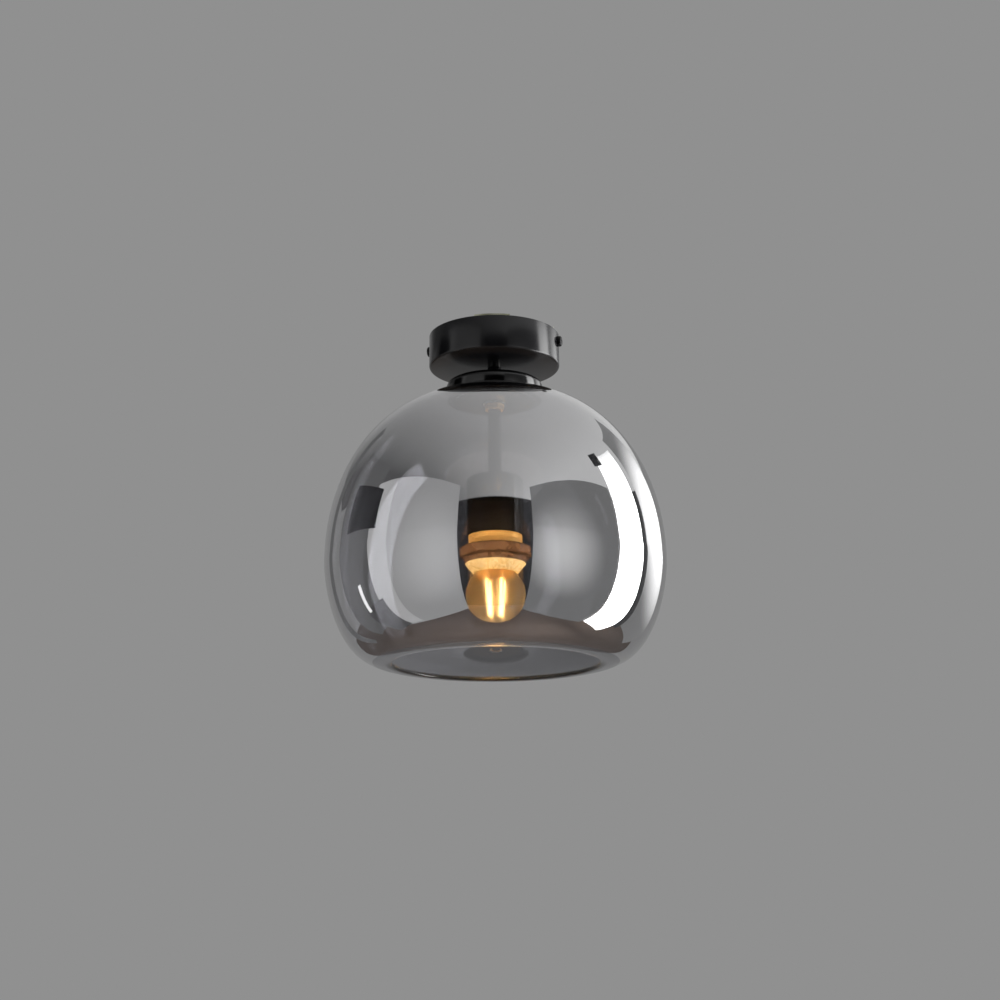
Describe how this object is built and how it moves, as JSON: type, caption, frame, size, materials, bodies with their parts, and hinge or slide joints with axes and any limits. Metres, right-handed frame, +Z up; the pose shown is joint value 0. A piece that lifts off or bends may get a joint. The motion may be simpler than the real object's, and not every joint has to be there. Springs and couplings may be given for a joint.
{
  "type": "ceiling light",
  "caption": "Semi-flush ceiling light: smoked mirror-glass globe, open below, clamped under a round black canopy, with a screw lampholder and a small round filament bulb.",
  "frame": {"origin": "centre of the mounting bracket's top face, on the ceiling", "axes": "+Z up into the ceiling, +X through one canopy screw, +Y towards the terminal block"},
  "size_m": [0.25, 0.25, 0.2513],
  "materials": {
    "yellow_zinc": "yellow zinc-plated steel, satin",
    "bright_zinc": "bright zinc-plated steel",
    "black_paint": "black powder paint, semi-gloss",
    "black_gloss": "black paint, glossy",
    "black_plastic": "black phenolic plastic, glossy",
    "brown_plastic": "dark brown phenolic plastic",
    "brass": "plain brass, satin",
    "white_nylon": "off-white nylon",
    "live_plastic": "brown wire insulation",
    "neutral_plastic": "blue wire insulation",
    "earth_plastic": "green and yellow wire insulation",
    "black_rubber": "black rubber",
    "clear_silicone": "milky silicone",
    "smoked_glass": "smoke-grey glass with a thin mirror coat",
    "ceramic": "unglazed cream ceramic",
    "nickel": "nickel-plated cap",
    "solder": "tinned contact",
    "cap_glass": "black insulating glass",
    "bulb_glass": "clear glass",
    "stem_glass": "clear glass",
    "filament": "yellow phosphor stick, lit",
    "support_wire": "nickel wire"
  },
  "bodies": {
    "fixture": {"mounting_bracket": "yellow_zinc", "canopy": "black_paint", "canopy_screws": "black_gloss", "terminal_block": "white_nylon", "terminal_sleeves": "brass", "terminal_screws": "bright_zinc", "block_screws": "bright_zinc", "earth_screw": "brass", "earth_tag": "bright_zinc", "live_lead": "live_plastic", "neutral_lead": "neutral_plastic", "earth_lead": "earth_plastic", "stem_nut": "yellow_zinc", "stem_washer": "bright_zinc", "threaded_pipe": "yellow_zinc", "upper_sleeve": "black_paint", "glass_cap": "black_gloss", "upper_gasket": "black_rubber", "glass_shade": "smoked_glass", "lower_gasket": "clear_silicone", "clamp_disc": "black_paint", "clamp_washer": "bright_zinc", "clamp_nut": "brass", "lower_sleeve": "black_paint", "socket_cup": "black_gloss", "cup_nut": "brass", "holder_dome": "brown_plastic", "holder_shell": "brass", "holder_insert": "ceramic", "terminal_posts": "brass", "post_screws": "bright_zinc", "screw_shell": "brass", "centre_contact": "brass", "ceramic_skirt": "ceramic", "shade_ring": "black_plastic"},
    "bulb_tip": {"bulb_contact": "solder"},
    "bulb": {"bulb_insulator": "cap_glass", "bulb_cap": "nickel", "bulb_glass": "bulb_glass", "bulb_stem": "stem_glass", "bulb_filaments": "filament", "bulb_supports": "support_wire"}
  },
  "joints": [
    {"name": "bulb_advance", "type": "slide", "parent": "fixture", "child": "bulb_tip", "axis": [0, 0, -1], "range_m": [0, 0.0164]},
    {"name": "bulb_turn", "type": "hinge", "parent": "bulb_tip", "child": "bulb", "pos_m": [0, 0, -0.16], "axis": [0, 0, -1], "range_deg": [0, 1620]}
  ],
  "couplings": [
    {"joint": "bulb_advance", "follows": "bulb_turn", "m_per_rad": 0.00057757}
  ]
}
